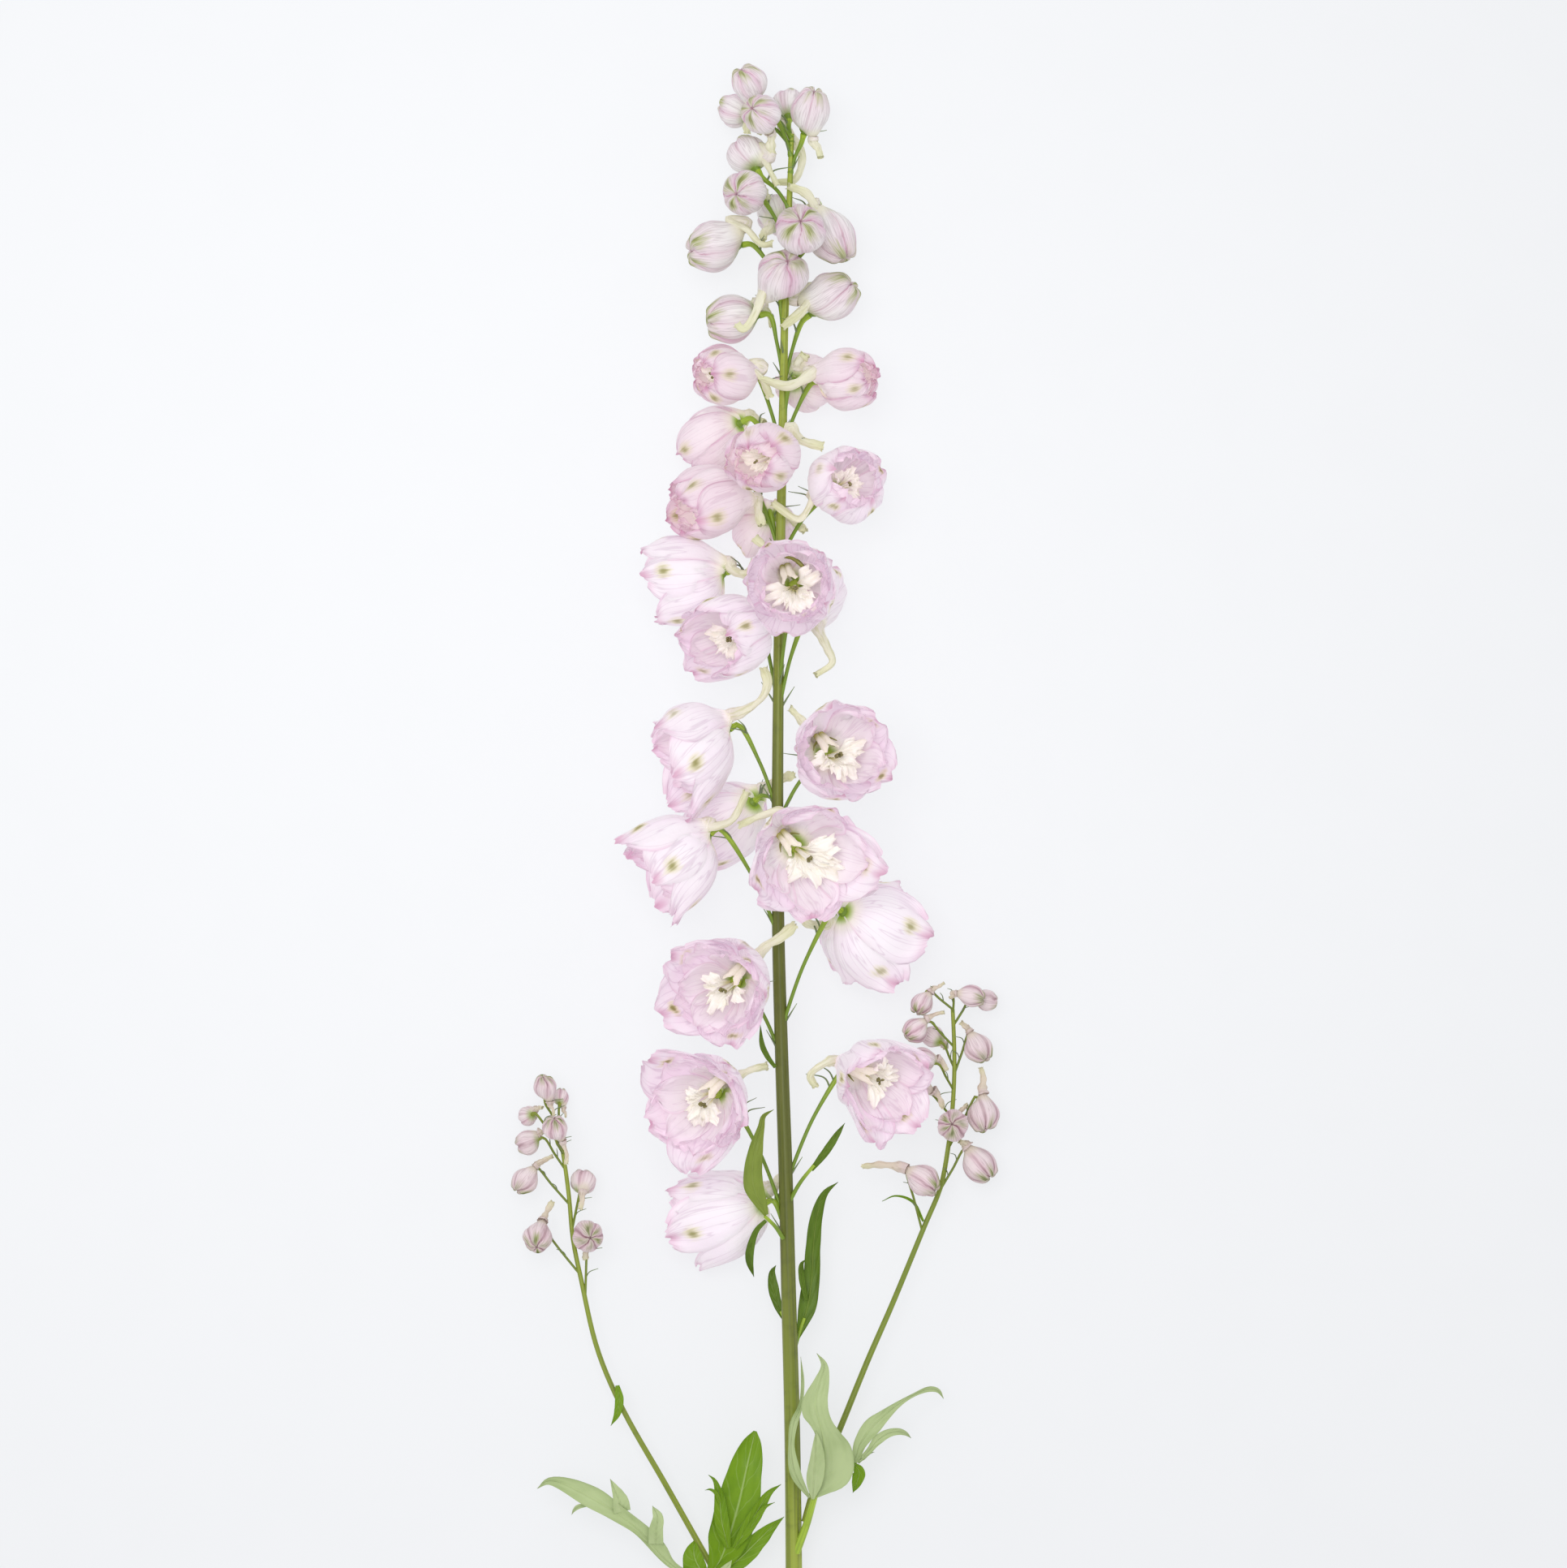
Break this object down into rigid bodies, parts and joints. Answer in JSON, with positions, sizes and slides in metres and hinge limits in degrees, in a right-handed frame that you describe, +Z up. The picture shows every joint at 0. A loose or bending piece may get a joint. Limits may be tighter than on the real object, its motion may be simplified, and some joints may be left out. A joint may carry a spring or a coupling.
{
  "type": "delphinium flower spike",
  "caption": "Cut delphinium spike lying down: pale pink spurred double flowers and buds on a green stem, with side sprays and cut leaves.",
  "frame": {"origin": "centre of the bounding box's bottom face, on the surface that the spike lies on", "axes": "+Y along the stem from the cut end to the tip of the spike, +Z up from the surface, +X to the right seen from above with the tip away from the viewer"},
  "size_m": [0.1921, 0.7199, 0.0728],
  "materials": {
    "stem": "satin plant skin, olive green",
    "side_spray": "satin plant skin, green stalks with greyish pink buds",
    "leaf": "satin leaf, mid green",
    "sepal": "soft matte petal, pale lilac pink",
    "bud": "soft matte petal, pale pink with green tips",
    "bee": "soft matte petal, cream white"
  },
  "bodies": {
    "root": {"bee_24": "bee", "bee_25": "bee", "bee_27": "bee", "bee_28": "bee", "bee_31": "bee", "bee_33": "bee", "bee_34": "bee", "bee_35": "bee", "bloom_15": "sepal", "bloom_16": "sepal", "bloom_17": "sepal", "bloom_18": "sepal", "bloom_19": "sepal", "bloom_20": "sepal", "bloom_21": "sepal", "bloom_22": "sepal", "bloom_23": "sepal", "bloom_24": "sepal", "bloom_25": "sepal", "bloom_26": "sepal", "bloom_27": "sepal", "bloom_28": "sepal", "bloom_29": "sepal", "bloom_30": "sepal", "bloom_31": "sepal", "bloom_32": "sepal", "bloom_33": "sepal", "bloom_34": "sepal", "bloom_35": "sepal", "bloom_36": "sepal", "bract_leaf_back": "leaf", "bract_leaf_left": "leaf", "bract_leaf_low": "leaf", "bract_leaf_right": "leaf", "bud_01": "bud", "bud_02": "bud", "bud_03": "bud", "bud_04": "bud", "bud_05": "bud", "bud_06": "bud", "bud_07": "bud", "bud_08": "bud", "bud_09": "bud", "bud_10": "bud", "bud_11": "bud", "bud_12": "bud", "bud_13": "bud", "bud_14": "bud", "leaf_lower": "leaf", "leaf_upper_right": "leaf", "main_stem": "stem", "side_spray_left": "side_spray", "side_spray_right": "side_spray"}
  },
  "joints": []
}
